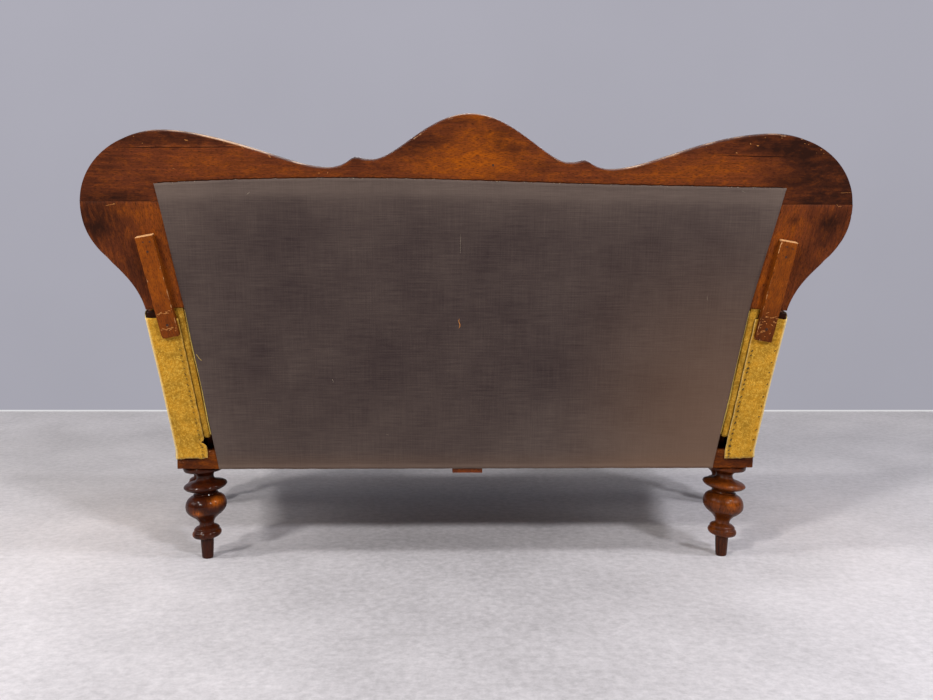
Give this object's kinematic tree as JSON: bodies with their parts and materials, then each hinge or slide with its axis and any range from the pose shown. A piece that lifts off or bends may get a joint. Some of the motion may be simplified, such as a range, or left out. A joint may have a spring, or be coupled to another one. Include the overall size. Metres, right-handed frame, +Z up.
{
  "type": "rococo revival sofa",
  "caption": "Upholstered sofa with a shaped crest, flared roll arms, a sprung seat and turned legs, closed at the back with tacked cloth",
  "frame": {"origin": "centre of the bounding box's base, on the floor", "axes": "+X to the sitter's left along the sofa, +Y to the rear, +Z up; the seat faces -Y"},
  "size_m": [1.64, 0.74, 1.0069],
  "materials": {
    "stained_wood": "stained, worn, satin",
    "polished_mahogany": "polished",
    "batten_wood": "bare, worn",
    "yellow_velvet": "cut pile",
    "taupe_cloth": "plain weave",
    "jute": "coarse weave",
    "horsehair": "stuffed",
    "spring_steel": "plain"
  },
  "bodies": {
    "root": {"crest_rail": "stained_wood", "back_stile_left": "stained_wood", "back_stile_right": "stained_wood", "rear_seat_rail": "stained_wood", "back_tack_rail": "stained_wood", "back_centre_post": "stained_wood", "front_seat_rail": "stained_wood", "side_rail_left": "stained_wood", "side_rail_right": "stained_wood", "side_tack_strip_left": "stained_wood", "side_tack_strip_right": "stained_wood", "centre_slat": "stained_wood", "arm_rear_post_left": "stained_wood", "arm_rear_post_right": "stained_wood", "arm_front_post_left": "stained_wood", "arm_front_post_right": "stained_wood", "arm_top_rail_left": "stained_wood", "arm_top_rail_right": "stained_wood", "crest_facing": "polished_mahogany", "front_apron": "polished_mahogany", "rear_leg_left": "polished_mahogany", "rear_leg_right": "polished_mahogany", "front_leg_left": "polished_mahogany", "front_leg_right": "polished_mahogany", "arm_facing_left": "polished_mahogany", "arm_facing_right": "polished_mahogany", "back_batten_left": "batten_wood", "back_batten_right": "batten_wood", "arm_cover_left": "yellow_velvet", "arm_cover_right": "yellow_velvet", "arm_cover_tail_left": "yellow_velvet", "arm_cover_tail_right": "yellow_velvet", "outside_arm_cover_left": "yellow_velvet", "outside_arm_cover_right": "yellow_velvet", "seat_cover": "yellow_velvet", "back_cover": "yellow_velvet", "back_cloth": "taupe_cloth", "seat_webbing": "jute", "seat_hessian": "jute", "back_webbing": "jute", "back_hessian": "jute", "arm_hessian_left": "jute", "arm_hessian_right": "jute", "seat_stuffing": "horsehair", "back_stuffing": "horsehair", "arm_stuffing_left": "horsehair", "arm_stuffing_right": "horsehair", "batten_screw_upper_left": "spring_steel", "batten_screw_upper_right": "spring_steel", "batten_screw_lower_left": "spring_steel", "batten_screw_lower_right": "spring_steel", "seat_spring_1": "spring_steel", "seat_spring_2": "spring_steel", "seat_spring_3": "spring_steel", "seat_spring_4": "spring_steel", "seat_spring_5": "spring_steel", "seat_spring_6": "spring_steel", "seat_spring_7": "spring_steel", "seat_spring_8": "spring_steel"}
  },
  "joints": []
}
